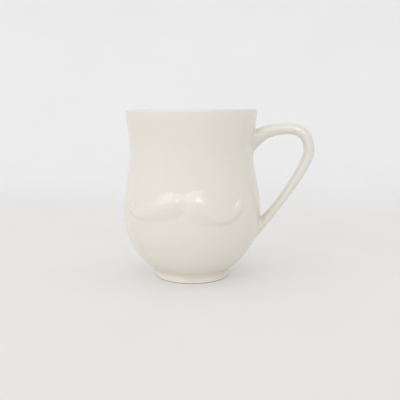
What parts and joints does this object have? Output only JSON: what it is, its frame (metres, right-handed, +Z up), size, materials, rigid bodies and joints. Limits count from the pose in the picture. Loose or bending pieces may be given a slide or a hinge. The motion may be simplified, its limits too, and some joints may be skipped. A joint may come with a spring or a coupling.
{
  "type": "moustache cup",
  "caption": "Cream glazed ceramic mug with a waisted wall, a ball-shaped bowl on a foot ring, a strap handle and a handlebar moustache in relief on its front.",
  "frame": {"origin": "middle of the foot ring's standing face, on the table", "axes": "+Z up along the cup's axis, +X towards the handle, -Y towards the moustache"},
  "size_m": [0.1177, 0.0868, 0.104],
  "materials": {
    "cream_glaze": "glossy cream-white glaze",
    "foot_clay": "glazed outside, bare fired clay on the standing edge"
  },
  "bodies": {
    "root": {"cup_body": "cream_glaze", "foot_ring": "foot_clay", "handle": "cream_glaze", "upper_slip_joint": "cream_glaze", "lower_slip_joint": "cream_glaze", "left_whisker": "cream_glaze", "right_whisker": "cream_glaze"}
  },
  "joints": []
}
